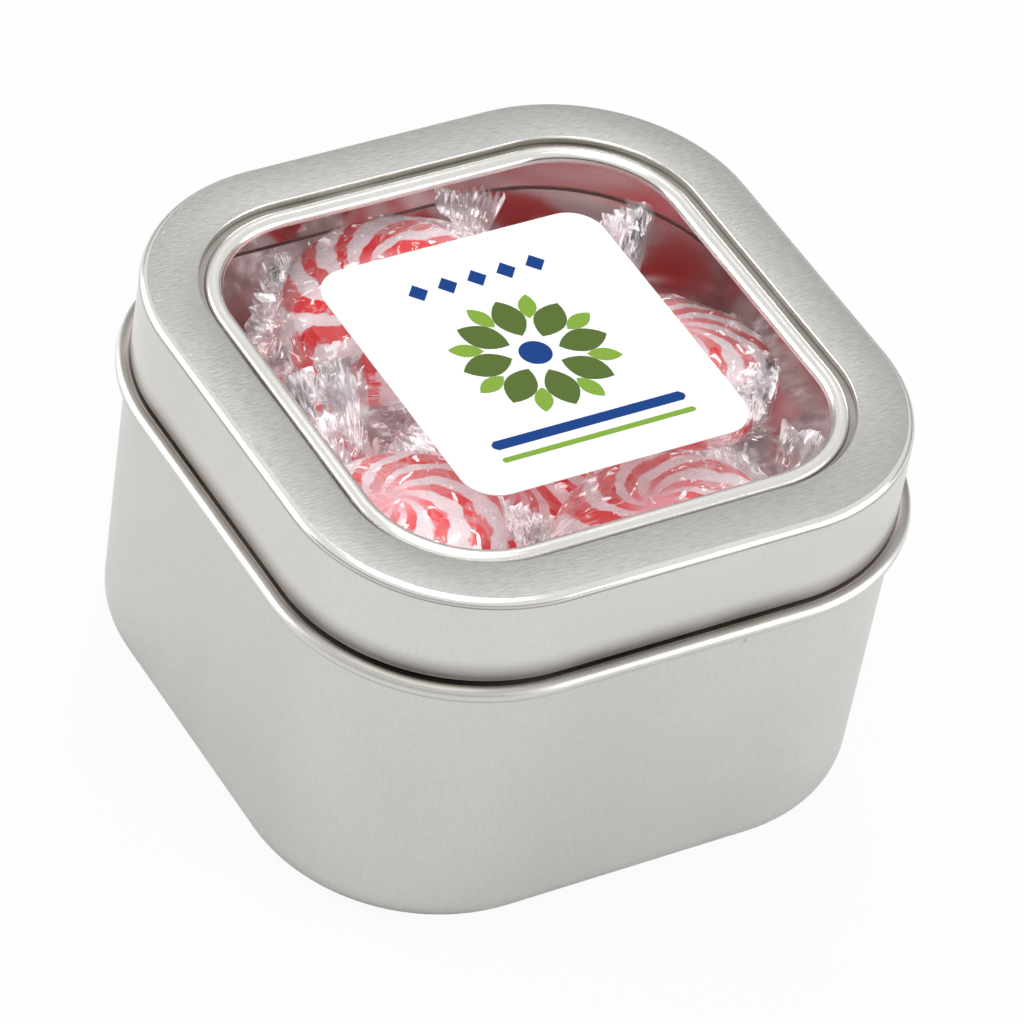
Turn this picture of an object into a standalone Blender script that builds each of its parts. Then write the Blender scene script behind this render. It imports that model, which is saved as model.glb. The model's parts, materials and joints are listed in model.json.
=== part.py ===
"""Window tin filled with twist-wrapped mints.

A drawn tinplate box with rounded corners, a slip lid with a clear window and a
paper label, and round mints in twisted clear film. The origin is the middle of
the base, +Z is up and +X runs along the label's short side.
"""
import itertools
import math
import random

import bmesh
import bpy
import numpy as np
from mathutils import Matrix, Vector
from mathutils.bvhtree import BVHTree

MM = 0.001

# Sheet metal and fits
sheet = 0.30 * MM
clearance = 0.30 * MM

# Lid: overall size, skirt, flat border and the rolled bead round the window
tin_width = 78.0 * MM
tin_height = 52.0 * MM
corner_radius = 22.8 * MM
skirt_height = 11.8 * MM
lid_edge_radius = 1.0 * MM
border_width = 6.7 * MM
groove_width = 0.7 * MM
groove_depth = 1.0 * MM
window_bead_radius = 1.15 * MM
window_bead_drop = 0.25 * MM

# Window pane and the ring that holds it up against the lid
pane_thickness = 0.40 * MM
pane_lap = 4.0 * MM
retainer_lip = 3.0 * MM
retainer_flange = 1.6 * MM

# Label stuck on the pane, a little off the middle as it was laid by hand
label_width = 37.4 * MM
label_length = 41.0 * MM
label_radius = 4.3 * MM
label_thickness = 0.12 * MM
label_shift_x = 0.8 * MM
label_shift_y = -0.4 * MM

# Body: wall, taper, rounded base edge, stop bead, neck and its rolled rim
wall_overhang = 0.20 * MM
wall_taper = 0.50 * MM
base_edge_radius = 4.6 * MM
stop_bead_radius = 1.05 * MM
stop_bead_projection = 1.44 * MM
rim_drop = 1.6 * MM
rim_curl_radius = 0.70 * MM

# Mint: a thick disc with domed faces and a rounded edge
mint_diameter = 25.0 * MM
mint_thickness = 11.6 * MM
mint_edge_radius = 3.4 * MM
mint_dome = 0.9 * MM

# Wrapper: film round the mint, twisted at two necks into pleated tails
film_thickness = 0.20 * MM
neck_radius = 1.7 * MM
neck_length = 1.8 * MM
tail_length = 5.5 * MM
tail_width = 8.5 * MM
tail_gap = 1.0 * MM
pleat_height = 0.9 * MM
twist = math.radians(35)

# Fill: a mint is tried at chance turns until a few of them lie well. The search for its
# place goes column by column, then down in small steps.
column = 0.7 * MM
place_reach = 6.0 * MM
settle_step = 0.10 * MM
turns_tried = 200
ways_wanted = 12
fill_seed = 2
steepest_lean = math.radians(16)
tail_lifts = (math.radians(5), math.radians(40), math.radians(75))

# Fineness
corner_steps = 8
arc_steps = 4
mint_steps = 16

# Places of the mints as shares of the mouth's half width, in the order that they are
# laid: two layers of four in the corners and one in the middle, then the ones that show
# at the window. The middles of a layer lie near a share of the tin's height.
layer_shares = ((0.55, 0.55), (-0.55, 0.55), (-0.55, -0.55), (0.55, -0.55), (0.0, 0.0))
window_shares = ((-0.12, 0.65), (0.65, 0.05), (0.30, -0.65), (-0.60, -0.45))
level_shares = (0.16, 0.43, 0.76)

# Mouth of a tail, corner by corner: share of its half width, share of the pleat's
# height, and the side of the folded film
tail_shares = (
    (1, -1, 1), (1 / 3, 1, 1), (-1 / 3, -1, 1), (-1, 1, 1),
    (-1, 1, -1), (-1 / 3, -1, -1), (1 / 3, 1, -1), (1, -1, -1),
)
swell_turn = math.radians(36)

# Derived sizes
lid_half = tin_width / 2
corner_centre = lid_half - corner_radius
lid_underside = tin_height - sheet
skirt_foot = tin_height - skirt_height
wall_half = lid_half + wall_overhang
base_half = wall_half - wall_taper
neck_half = lid_half - sheet - clearance
rim_top = lid_underside - rim_drop
mouth_half = neck_half - 2 * rim_curl_radius - clearance
stop_bead_top = skirt_foot - clearance
stop_bead_middle = stop_bead_top - stop_bead_radius
window_half = lid_half - border_width - groove_width - 2 * window_bead_radius
window_bead_middle = tin_height - window_bead_drop - window_bead_radius
pane_top = window_bead_middle - clearance
pane_half = window_half + pane_lap
retainer_top = pane_top - pane_thickness - clearance
retainer_wall = pane_half + clearance
ceiling = retainer_top - sheet - clearance
mint_radius = mint_diameter / 2


def clear_scene():
    """Empty the scene, so that the script can be run again."""
    for item in list(bpy.data.objects):
        bpy.data.objects.remove(item, do_unlink=True)
    for group in list(bpy.data.collections):
        bpy.data.collections.remove(group)


def finish_piece(piece, colour, roughness, metallic=0.0, alpha=1.0):
    """Put a piece in the tin's collection with a material of its own."""
    tin.objects.link(piece)
    material = bpy.data.materials.new(piece.name)
    material.use_nodes = True
    shader = material.node_tree.nodes["Principled BSDF"]
    shader.inputs["Base Color"].default_value = (*colour, 1.0)
    shader.inputs["Roughness"].default_value = roughness
    shader.inputs["Metallic"].default_value = metallic
    shader.inputs["Alpha"].default_value = alpha
    piece.data.materials.append(material)
    return piece


def loft(name, rings):
    """Open surface through rings of points, each ring running the same way round."""
    work = bmesh.new()
    loops = [[work.verts.new(point) for point in ring] for ring in rings]
    count = len(loops[0])
    for lower, upper in zip(loops, loops[1:]):
        for here in range(count):
            there = (here + 1) % count
            work.faces.new((lower[here], lower[there], upper[there], upper[here]))
    mesh = bpy.data.meshes.new(name)
    work.to_mesh(mesh)
    work.free()
    return mesh


def rounded_square(half, height=0.0):
    """Ring of a rounded square; every ring keeps the tin's four corner centres."""
    reach = half - corner_centre
    ring = []
    for quarter, (side_x, side_y) in enumerate(((1, 1), (-1, 1), (-1, -1), (1, -1))):
        for step in range(corner_steps + 1):
            angle = (quarter + step / corner_steps) * math.pi / 2
            ring.append((side_x * corner_centre + reach * math.cos(angle),
                         side_y * corner_centre + reach * math.sin(angle), height))
    return ring


def arc(centre, radius, start, end, steps=arc_steps):
    """Points of an arc in a profile, from one angle to another in degrees."""
    points = []
    for step in range(steps + 1):
        angle = math.radians(start + (end - start) * step / steps)
        points.append((centre[0] + radius * math.cos(angle),
                       centre[1] + radius * math.sin(angle)))
    return points


def drawn_shell(name, profile, floor=False):
    """Sheet of tin with a profile of (half width, height), carried round the corners."""
    mesh = loft(name, [rounded_square(half, height) for half, height in profile])
    if floor:
        work = bmesh.new()
        work.from_mesh(mesh)
        rim = [edge for edge in work.edges if edge.is_boundary
               and max(vert.co.z for vert in edge.verts) <= profile[0][1]]
        bmesh.ops.contextual_create(work, geom=rim)
        bmesh.ops.recalc_face_normals(work, faces=work.faces)
        work.to_mesh(mesh)
        work.free()
    mesh.shade_smooth()
    mesh.set_sharp_from_angle(angle=math.radians(35))
    shell = bpy.data.objects.new(name, mesh)
    wall = shell.modifiers.new("sheet", "SOLIDIFY")
    wall.thickness = sheet
    wall.offset = -1
    wall.use_even_offset = True
    return shell


def flat_plate(name, outline, thickness, top):
    """Flat sheet cut to an outline, with its upper face at a height."""
    curve = bpy.data.curves.new(name, "CURVE")
    curve.dimensions = "2D"
    curve.fill_mode = "BOTH"
    curve.extrude = thickness / 2
    spline = curve.splines.new("POLY")
    spline.points.add(len(outline) - 1)
    for point, place in zip(spline.points, outline):
        point.co = (place[0], place[1], 0.0, 1.0)
    spline.use_cyclic_u = True
    plate = bpy.data.objects.new(name, curve)
    plate.location.z = top - thickness / 2
    return plate


def make_body():
    """Box: floor, rounded base edge, wall, stop bead, neck and inward-rolled rim."""
    bead_centre = (wall_half + stop_bead_projection - stop_bead_radius, stop_bead_middle)
    lean = math.degrees(math.acos((stop_bead_projection - stop_bead_radius) / stop_bead_radius))
    curl_centre = (neck_half - rim_curl_radius, rim_top - rim_curl_radius)
    profile = arc((base_half - base_edge_radius, base_edge_radius), base_edge_radius, -90, 0)
    profile += arc(bead_centre, stop_bead_radius, -180 + lean, 180 - lean, 2 * arc_steps)
    profile.append((neck_half, stop_bead_top))
    profile += arc(curl_centre, rim_curl_radius, 0, 200, arc_steps)
    body = drawn_shell("tin_body", profile, floor=True)
    return finish_piece(body, (0.66, 0.65, 0.62), 0.32, 1.0)


def make_lid():
    """Lid: skirt, flat border, groove and the rolled bead round the window."""
    bead_centre = (window_half + window_bead_radius, window_bead_middle)
    groove_floor = tin_height - groove_depth
    bead_foot = math.degrees(math.asin((groove_floor - window_bead_middle) / window_bead_radius))
    edge_centre = (lid_half - lid_edge_radius, tin_height - lid_edge_radius)
    profile = [(lid_half, skirt_foot)]
    profile += arc(edge_centre, lid_edge_radius, 0, 90)
    profile.append((window_half + 2 * window_bead_radius + groove_width, tin_height))
    profile.append((window_half + 2 * window_bead_radius + groove_width, groove_floor))
    profile += arc(bead_centre, window_bead_radius, bead_foot, 180, 2 * arc_steps)
    lid = drawn_shell("lid_frame", profile)
    finish_piece(lid, (0.66, 0.65, 0.62), 0.34, 1.0)

    pane = flat_plate("window_pane", rounded_square(pane_half), pane_thickness, pane_top)
    finish_piece(pane, (0.95, 0.97, 0.97), 0.05, alpha=0.15)

    retainer = drawn_shell("window_retainer", [
        (retainer_wall + sheet + retainer_flange, lid_underside - clearance),
        (retainer_wall, lid_underside - clearance),
        (retainer_wall, retainer_top),
        (retainer_wall - retainer_lip, retainer_top),
    ])
    finish_piece(retainer, (0.60, 0.59, 0.56), 0.38, 1.0)

    outline = []
    inner_x = label_width / 2 - label_radius
    inner_y = label_length / 2 - label_radius
    for quarter, (side_x, side_y) in enumerate(((1, 1), (-1, 1), (-1, -1), (1, -1))):
        for step in range(corner_steps + 1):
            angle = (quarter + step / corner_steps) * math.pi / 2
            outline.append((side_x * inner_x + label_radius * math.cos(angle),
                            side_y * inner_y + label_radius * math.sin(angle)))
    label = flat_plate("window_label", outline, label_thickness,
                       pane_top + clearance + label_thickness)
    label.location.x = label_shift_x
    label.location.y = label_shift_y
    finish_piece(label, (0.92, 0.92, 0.90), 0.45)

    guide = bpy.data.objects.new("lid_lift", None)
    guide.location.z = skirt_foot
    tin.objects.link(guide)
    for piece in (lid, pane, retainer, label):
        piece.parent = guide
        piece.location.z -= skirt_foot
    return lid


def make_mint(name):
    """Turned disc with domed faces, seen edge-on in its XZ plane."""
    half = mint_thickness / 2
    shoulder = half - mint_dome - mint_edge_radius
    centre = mint_radius - mint_edge_radius
    outline = [(0.0, half)]
    outline += arc((centre, shoulder), mint_edge_radius, 90, 0, arc_steps // 2)
    outline += arc((centre, -shoulder), mint_edge_radius, 0, -90, arc_steps // 2)
    outline.append((0.0, -half))
    mesh = bpy.data.meshes.new(name)
    mesh.from_pydata([(x, 0.0, z) for x, z in outline],
                     [(step, step + 1) for step in range(len(outline) - 1)], [])
    mint = bpy.data.objects.new(name, mesh)
    turn = mint.modifiers.new("turn", "SCREW")
    turn.steps = mint_steps
    turn.render_steps = mint_steps
    turn.use_merge_vertices = True
    turn.merge_threshold = 0.00001
    turn.use_smooth_shade = True
    return finish_piece(mint, (0.85, 0.30, 0.30), 0.18)


def tail_rings(end, lift):
    """Neck and pleated mouth of one twisted tail, from the mint outwards."""
    neck_at = mint_radius + clearance + neck_length
    heading = Vector((end * math.cos(lift), 0.0, math.sin(lift)))
    upward = Vector((-end * math.sin(lift), 0.0, math.cos(lift)))
    neck = []
    mouth = []
    for corner in range(8):
        angle = (corner + 0.5) * math.pi / 4 + end * twist / 2
        neck.append(Vector((end * neck_at, neck_radius * math.cos(angle),
                            neck_radius * math.sin(angle))))
    for across, pleat, sheet_side in tail_shares:
        flat = Vector((across * tail_width / 2,
                       pleat * pleat_height + sheet_side * tail_gap / 2))
        flat.rotate(Matrix.Rotation(end * twist, 2))
        start = Vector((end * neck_at, 0.0, 0.0))
        mouth.append(start + heading * tail_length + Vector((0.0, flat.x, 0.0))
                     + upward * flat.y)
    return [neck, mouth]


def make_wrapper(name, lift_left, lift_right):
    """Film tube: open pleated tail, neck, eight-sided swell round the mint, neck, tail."""
    corner_cut = (clearance + mint_edge_radius) * (2 - math.sqrt(2)) + mint_dome
    half_height = mint_thickness / 2 + clearance
    reach = (mint_radius + clearance) / math.cos(swell_turn / 2)
    swell = []
    for station in (-2, -1, 0, 1, 2):
        across = reach * math.cos(station * swell_turn)
        cut = min(corner_cut, across / 2)
        along = reach * math.sin(station * swell_turn)
        swell.append([(along, side_y * (across - cut * near),
                       side_z * (half_height - cut * (1 - near)))
                      for side_y, side_z, near in ((1, 1, 0), (1, 1, 1), (-1, 1, 1), (-1, 1, 0),
                                                   (-1, -1, 0), (-1, -1, 1), (1, -1, 1),
                                                   (1, -1, 0))])
    rings = tail_rings(-1, lift_left)[::-1] + swell + tail_rings(1, lift_right)
    mesh = loft(name, rings[::-1])
    wrapper = bpy.data.objects.new(name, mesh)
    film = wrapper.modifiers.new("film", "SOLIDIFY")
    film.thickness = film_thickness
    film.offset = 1
    return finish_piece(wrapper, (0.96, 0.90, 0.90), 0.12, alpha=0.35)


def solid_of(piece):
    """Corner points and faces of a piece as its modifiers leave it, in its own frame."""
    bpy.context.view_layer.update()
    shown = piece.evaluated_get(bpy.context.evaluated_depsgraph_get())
    mesh = shown.to_mesh()
    points = [vert.co.copy() for vert in mesh.vertices]
    faces = [tuple(face.vertices) for face in mesh.polygons]
    shown.to_mesh_clear()
    return points, faces


def tree_at(solid, place):
    """Search tree of a solid's faces, put where a matrix says."""
    points, faces = solid
    return BVHTree.FromPolygons([place @ point for point in points], faces)


def column_heights(solid, pose):
    """Lowest and highest points of a turned solid over a square of upright columns."""
    tree = tree_at(solid, pose)
    points = [pose @ point for point in solid[0]]
    reach = max(max(abs(point.x), abs(point.y)) for point in points)
    high = max(abs(point.z) for point in points) * 2
    cells = math.ceil(reach / column)
    under = np.full((2 * cells + 1, 2 * cells + 1), np.inf)
    over = np.full_like(under, -np.inf)
    for row in range(-cells, cells + 1):
        for line in range(-cells, cells + 1):
            below = Vector((row * column, line * column, -high))
            above = Vector((row * column, line * column, high))
            hit = tree.ray_cast(below, Vector((0, 0, 1)))[0]
            if hit is not None:
                under[row + cells, line + cells] = hit.z
                over[row + cells, line + cells] = tree.ray_cast(above, Vector((0, 0, -1)))[0].z
    return under, over


def grow(heights):
    """Each column takes the highest of itself and the eight round it."""
    wide = np.pad(heights, 1, mode="edge")
    count = heights.shape[0]
    return np.max([wide[row:row + count, line:line + count]
                   for row in range(3) for line in range(3)], axis=0)


def empty_pile():
    """Heights inside the empty tin, with no way down outside its mouth."""
    cells = math.ceil((lid_half + mint_radius + tail_length) / column)
    place = np.arange(-cells, cells + 1) * column
    out_x = np.maximum(np.abs(place)[:, None] - corner_centre, 0.0)
    out_y = np.maximum(np.abs(place)[None, :] - corner_centre, 0.0)
    pile = np.full((len(place), len(place)), sheet)
    pile[np.hypot(out_x, out_y) > mouth_half - corner_centre] = np.inf
    return pile


def rest_height(ground, under, row, line):
    """Height at which a solid stops when it comes down over one column."""
    size = under.shape[0]
    below = ground[row:row + size, line:line + size]
    solid = np.isfinite(under)
    return float(np.max(below[solid] - under[solid]))


def settle(solid, pose, height, laid):
    """Bring a solid down onto what lies there already, and leave the clearance."""
    def blocked(level):
        tree = tree_at(solid, Matrix.Translation((0.0, 0.0, level)) @ pose)
        return any(tree.overlap(other) for other in laid)

    while blocked(height):
        height += settle_step
    while height > 0 and not blocked(height - settle_step):
        height -= settle_step
    return height + clearance


def pose_of(spin, tilt, bearing):
    """Turn of a mint: its twist points along spin, and it leans down to the bearing."""
    lean = Matrix.Rotation(tilt, 4, Vector((-math.sin(bearing), math.cos(bearing), 0.0)))
    return lean @ Matrix.Rotation(spin, 4, "Z")


def nearest_rest(pile, under, over, wanted_x, wanted_y):
    """Column and height nearest to a place where a solid lies inside and under the lid."""
    found = None
    nearest = math.inf
    ground = grow(pile)
    around = round(place_reach / column)
    middle = (pile.shape[0] - under.shape[0]) // 2
    for shift_x in range(-around, around + 1):
        for shift_y in range(-around, around + 1):
            row = middle + round(wanted_x / column) + shift_x
            line = middle + round(wanted_y / column) + shift_y
            away = math.hypot(shift_x, shift_y)
            if away < nearest:
                height = rest_height(ground, under, row, line)
                if height + float(over.max()) < ceiling:
                    found = (row, line, height)
                    nearest = away
    return found


def wrapper_shape(lifts):
    """Solid of a wrapper with its tails lifted so, in its own frame."""
    trial = make_wrapper("trial", *lifts)
    solid = solid_of(trial)
    bpy.data.objects.remove(trial)
    return solid


def tried_turns(chance, shapes, pile, wanted_x, wanted_y, level):
    """Ways a mint can lie near a place and level, the best one first."""
    ways = []
    for attempt in range(turns_tried):
        lifts = chance.choice(list(shapes))
        pose = pose_of(chance.uniform(0, math.pi), chance.uniform(0, steepest_lean),
                       chance.uniform(0, 2 * math.pi))
        under, over = column_heights(shapes[lifts], pose)
        found = nearest_rest(pile, under, over, wanted_x, wanted_y)
        if found is not None:
            row, line, height = found
            first = (over.shape[0] - pile.shape[0]) // 2
            spot = Vector(((row + first) * column, (line + first) * column, 0.0))
            away = math.hypot(spot.x - wanted_x, spot.y - wanted_y) + abs(height - level)
            ways.append((away, attempt, lifts, pose, over, spot, found))
            if len(ways) == ways_wanted:
                break
    return sorted(ways, key=lambda way: way[:2])


def fill_tin(body):
    """Lower the wrapped mints one by one, each onto the tin or the mints under it."""
    pile = empty_pile()
    laid = [tree_at(solid_of(body), Matrix.Identity(4))]
    chance = random.Random(fill_seed)
    shapes = {lifts: wrapper_shape(lifts) for lifts in itertools.product(tail_lifts, repeat=2)}
    places = [(x * mouth_half, y * mouth_half, level * tin_height)
              for layer, level in zip((layer_shares, layer_shares, window_shares), level_shares)
              for x, y in layer]
    number = 1
    for wanted_x, wanted_y, level in places:
        ways = tried_turns(chance, shapes, pile, wanted_x, wanted_y, level)
        for _, _, lifts, pose, over, spot, (row, line, height) in ways:
            solid = shapes[lifts]
            height = settle(solid, Matrix.Translation(spot) @ pose, height, laid)
            place = Matrix.Translation(spot + Vector((0.0, 0.0, height))) @ pose
            if max((place @ point).z for point in solid[0]) < ceiling:
                break
        else:
            print("no room left at", wanted_x, wanted_y)
            continue
        make_wrapper("wrapper_{:02d}".format(number), *lifts).matrix_world = place
        make_mint("mint_{:02d}".format(number)).matrix_world = place
        laid.append(tree_at(solid, place))
        patch = pile[row:row + over.shape[0], line:line + over.shape[1]]
        np.maximum(patch, over + height, out=patch)
        number += 1
    print("mints in the tin:", number - 1)


clear_scene()
tin = bpy.data.collections.new("window_tin")
bpy.context.scene.collection.children.link(tin)
tin_box = make_body()
make_lid()
fill_tin(tin_box)
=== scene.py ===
import json
import math
import random

import bmesh
import bpy
import numpy as np
from mathutils import Matrix, Vector, noise
from mathutils.bvhtree import BVHTree

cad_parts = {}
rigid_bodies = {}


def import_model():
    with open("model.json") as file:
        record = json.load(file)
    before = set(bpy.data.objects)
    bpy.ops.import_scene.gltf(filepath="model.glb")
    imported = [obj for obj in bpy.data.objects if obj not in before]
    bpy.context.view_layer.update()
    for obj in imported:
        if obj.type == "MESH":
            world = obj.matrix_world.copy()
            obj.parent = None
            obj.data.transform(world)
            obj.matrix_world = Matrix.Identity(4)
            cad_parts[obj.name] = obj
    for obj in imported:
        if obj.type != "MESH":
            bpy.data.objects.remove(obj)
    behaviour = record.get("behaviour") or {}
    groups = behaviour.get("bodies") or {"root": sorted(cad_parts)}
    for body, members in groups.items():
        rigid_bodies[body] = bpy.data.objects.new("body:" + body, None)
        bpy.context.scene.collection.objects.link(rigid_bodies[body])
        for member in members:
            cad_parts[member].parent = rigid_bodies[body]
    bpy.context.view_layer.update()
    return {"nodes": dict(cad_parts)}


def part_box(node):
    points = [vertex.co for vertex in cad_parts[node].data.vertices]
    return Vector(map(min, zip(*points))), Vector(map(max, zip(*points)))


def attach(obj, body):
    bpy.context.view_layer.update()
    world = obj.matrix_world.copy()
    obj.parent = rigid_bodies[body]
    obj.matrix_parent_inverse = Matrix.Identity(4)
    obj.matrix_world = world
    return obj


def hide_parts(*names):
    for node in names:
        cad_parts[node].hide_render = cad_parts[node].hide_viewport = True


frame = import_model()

# Tin box. One sheet of tinplate is drawn into a rounded square with a soft
# base edge; a half-round stop bead is rolled out under the lid, the neck above
# it is pressed in, and the rim is curled inwards so that no edge is sharp.
MM = 0.001
sheet = 0.30 * MM
clearance = 0.30 * MM
tin_width = 78.0 * MM
tin_height = 52.0 * MM
corner_radius = 22.8 * MM
skirt_height = 11.8 * MM
wall_overhang = 0.20 * MM
wall_taper = 0.50 * MM
base_edge_radius = 4.6 * MM
stop_bead_radius = 1.05 * MM
stop_bead_projection = 1.44 * MM
rim_drop = 1.6 * MM
rim_curl_radius = 0.70 * MM

lid_half = tin_width / 2
corner_centre = lid_half - corner_radius
lid_underside = tin_height - sheet
skirt_foot = tin_height - skirt_height
wall_half = lid_half + wall_overhang
base_half = wall_half - wall_taper
neck_half = lid_half - sheet - clearance
rim_top = lid_underside - rim_drop
stop_bead_top = skirt_foot - clearance
stop_bead_middle = stop_bead_top - stop_bead_radius

corner_cuts = 24
base_edge_cuts = 12
stop_bead_cuts = 14
rim_curl_cuts = 10
rim_curl_end = 200    # degrees
merge_reach = 0.02 * MM


def arc(centre, radius, start, end, cuts):
    """Points of an arc in a profile, from one angle to another in degrees."""
    points = []
    for step in range(cuts + 1):
        angle = math.radians(start + (end - start) * step / cuts)
        points.append((centre[0] + radius * math.cos(angle),
                       centre[1] + radius * math.sin(angle)))
    return points


def draw_profile(name, profile):
    """Cut line of a drawn sheet, run out point by point where the +X side begins."""
    bpy.ops.object.select_all(action="DESELECT")
    first = profile[0]
    bpy.ops.mesh.primitive_plane_add(size=sheet, location=(first[0], -corner_centre, first[1]))
    piece = bpy.context.active_object
    piece.name = name
    bpy.ops.object.transform_apply(location=True, rotation=True, scale=True)
    bpy.ops.object.mode_set(mode="EDIT")
    bpy.ops.mesh.select_mode(type="VERT")
    bpy.ops.mesh.select_all(action="SELECT")
    bpy.ops.mesh.merge(type="CENTER")
    for here, there in zip(profile, profile[1:]):
        step = (there[0] - here[0], 0.0, there[1] - here[1])
        bpy.ops.mesh.extrude_vertices_move(TRANSFORM_OT_translate={"value": step})
    bpy.ops.mesh.select_all(action="SELECT")
    return piece


def carry_round():
    """Take the cut line along each side and round each corner of the tin."""
    run = 2 * corner_centre
    turns = (((0, run, 0), (corner_centre, corner_centre, 0)),
             ((-run, 0, 0), (-corner_centre, corner_centre, 0)),
             ((0, -run, 0), (-corner_centre, -corner_centre, 0)),
             ((run, 0, 0), (corner_centre, -corner_centre, 0)))
    for along, centre in turns:
        bpy.ops.mesh.extrude_edges_move(TRANSFORM_OT_translate={"value": along})
        bpy.ops.mesh.spin(steps=corner_cuts, angle=-math.pi / 2, center=centre, axis=(0, 0, 1))
    bpy.ops.mesh.select_all(action="SELECT")
    bpy.ops.mesh.remove_doubles(threshold=merge_reach)


def close_sheet(piece, thickness, smooth_angle=35):
    """Point the faces outwards, give the sheet its thickness and shade it."""
    bpy.ops.mesh.select_all(action="SELECT")
    bpy.ops.mesh.normals_make_consistent(inside=False)
    bpy.ops.object.mode_set(mode="OBJECT")
    wall = piece.modifiers.new("sheet", "SOLIDIFY")
    wall.thickness = thickness
    wall.offset = -1
    wall.use_even_offset = True
    bpy.ops.object.modifier_apply(modifier=wall.name)
    bpy.ops.object.shade_smooth_by_angle(angle=math.radians(smooth_angle))
    return piece


bead_centre = (wall_half + stop_bead_projection - stop_bead_radius, stop_bead_middle)
bead_lean = math.degrees(math.acos((stop_bead_projection - stop_bead_radius) / stop_bead_radius))
curl_centre = (neck_half - rim_curl_radius, rim_top - rim_curl_radius)
box_profile = arc((base_half - base_edge_radius, base_edge_radius), base_edge_radius, -90, 0,
                  base_edge_cuts)
box_profile += arc(bead_centre, stop_bead_radius, -180 + bead_lean, 180 - bead_lean,
                   stop_bead_cuts)
box_profile.append((neck_half, stop_bead_top))
box_profile += arc(curl_centre, rim_curl_radius, 0, rim_curl_end, rim_curl_cuts)
tin_box = draw_profile("box_drawn", box_profile)
carry_round()
bpy.ops.mesh.select_all(action="DESELECT")
bpy.ops.object.mode_set(mode="OBJECT")
for edge in tin_box.data.edges:
    ends = [tin_box.data.vertices[corner].co for corner in edge.vertices]
    edge.select = max(abs(end.z) for end in ends) < 0.1 * sheet
bpy.ops.object.mode_set(mode="EDIT")
bpy.ops.mesh.select_mode(type="EDGE")
bpy.ops.mesh.edge_face_add()
close_sheet(tin_box, sheet)
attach(tin_box, "box")
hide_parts("tin_body")


def set_inputs(tree, node, inputs):
    """Give a node's inputs their values, or the sockets that feed them."""
    for key, value in inputs.items():
        if isinstance(value, bpy.types.NodeSocket):
            tree.links.new(value, node.inputs[key])
        else:
            node.inputs[key].default_value = value


def add_node(tree, kind, inputs, **settings):
    """New shader node with its settings and inputs."""
    node = tree.nodes.new("ShaderNode" + kind)
    for key, value in settings.items():
        setattr(node, key, value)
    set_inputs(tree, node, inputs)
    return node


def maths(tree, kind, first, second=0.0):
    """Math node on two sockets or numbers."""
    return add_node(tree, "Math", {0: first, 1: second}, operation=kind).outputs[0]


def ranged(tree, value, start, end, low=0.0, high=1.0, kind="LINEAR"):
    """A value carried over from one range to another, and kept inside it."""
    limits = {"Value": value, "From Min": start, "From Max": end, "To Min": low, "To Max": high}
    return add_node(tree, "MapRange", limits, interpolation_type=kind, clamp=True).outputs[0]


def cloudy(tree, place, scale, detail=2.0, roughness=0.5, distortion=0.0):
    """Value of a noise texture at a place."""
    grain = {"Vector": place, "Scale": scale, "Detail": detail, "Roughness": roughness,
             "Distortion": distortion}
    return add_node(tree, "TexNoise", grain).outputs["Fac"]


def ramp_colour(tree, value, first, last, *between):
    """Colour at a value on a ramp, whose stops each give (position, colour)."""
    ramp = add_node(tree, "ValToRGB", {"Fac": value})
    stops = ramp.color_ramp.elements
    for stop, (position, colour) in zip((stops[0], stops[1]), (first, last)):
        stop.position = position
        stop.color = (*colour, 1)
    for position, colour in between:
        stops.new(position).color = (*colour, 1)
    return ramp.outputs["Color"]


def mixed_colour(tree, share, first, second):
    """First colour, a socket, giving way to a fixed second one."""
    return add_node(tree, "Mix", {"Factor": share, "A": first, "B": (*second, 1)},
                    data_type="RGBA").outputs["Result"]


def relief(tree, height, strength, depth):
    """Normal of a surface with a fine relief on it."""
    return add_node(tree, "Bump", {"Height": height, "Strength": strength,
                                   "Distance": depth}).outputs[0]


def own_place(tree):
    """Place on an object, in its own coordinates."""
    return add_node(tree, "TexCoord", {}).outputs["Object"]


def new_material(name):
    """Material, its node tree and its shader."""
    material = bpy.data.materials.new(name)
    material.use_nodes = True
    tree = material.node_tree
    return material, tree, tree.nodes["Principled BSDF"]


def effect(name, inputs, outputs):
    """Node group with named sockets: its tree, what comes in and the node that leads out."""
    tree = bpy.data.node_groups.new(name, "ShaderNodeTree")
    for label, kind, value in inputs:
        socket = tree.interface.new_socket(label, in_out="INPUT", socket_type="NodeSocket" + kind)
        if value is not None:
            socket.default_value = value
    for label in outputs:
        tree.interface.new_socket(label, in_out="OUTPUT", socket_type="NodeSocketFloat")
    return tree, tree.nodes.new("NodeGroupInput").outputs, tree.nodes.new("NodeGroupOutput")


# Rolled grain of tinplate: short streaks along the rolling, over a soft cloudiness.
rolled_grain, given, leave = effect(
    "rolled grain",
    [("Place", "Vector", None), ("Streak Size", "Vector", (1, 1, 1)),
     ("Cloud Size", "Float", 60.0)],
    ["Streaks", "Clouds"])
stretched = add_node(rolled_grain, "VectorMath", {0: given["Place"], 1: given["Streak Size"]},
                     operation="MULTIPLY").outputs[0]
set_inputs(rolled_grain, leave, {
    "Streaks": cloudy(rolled_grain, stretched, 1.0, detail=3.0, roughness=0.65),
    "Clouds": cloudy(rolled_grain, given["Place"], given["Cloud Size"])})

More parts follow.
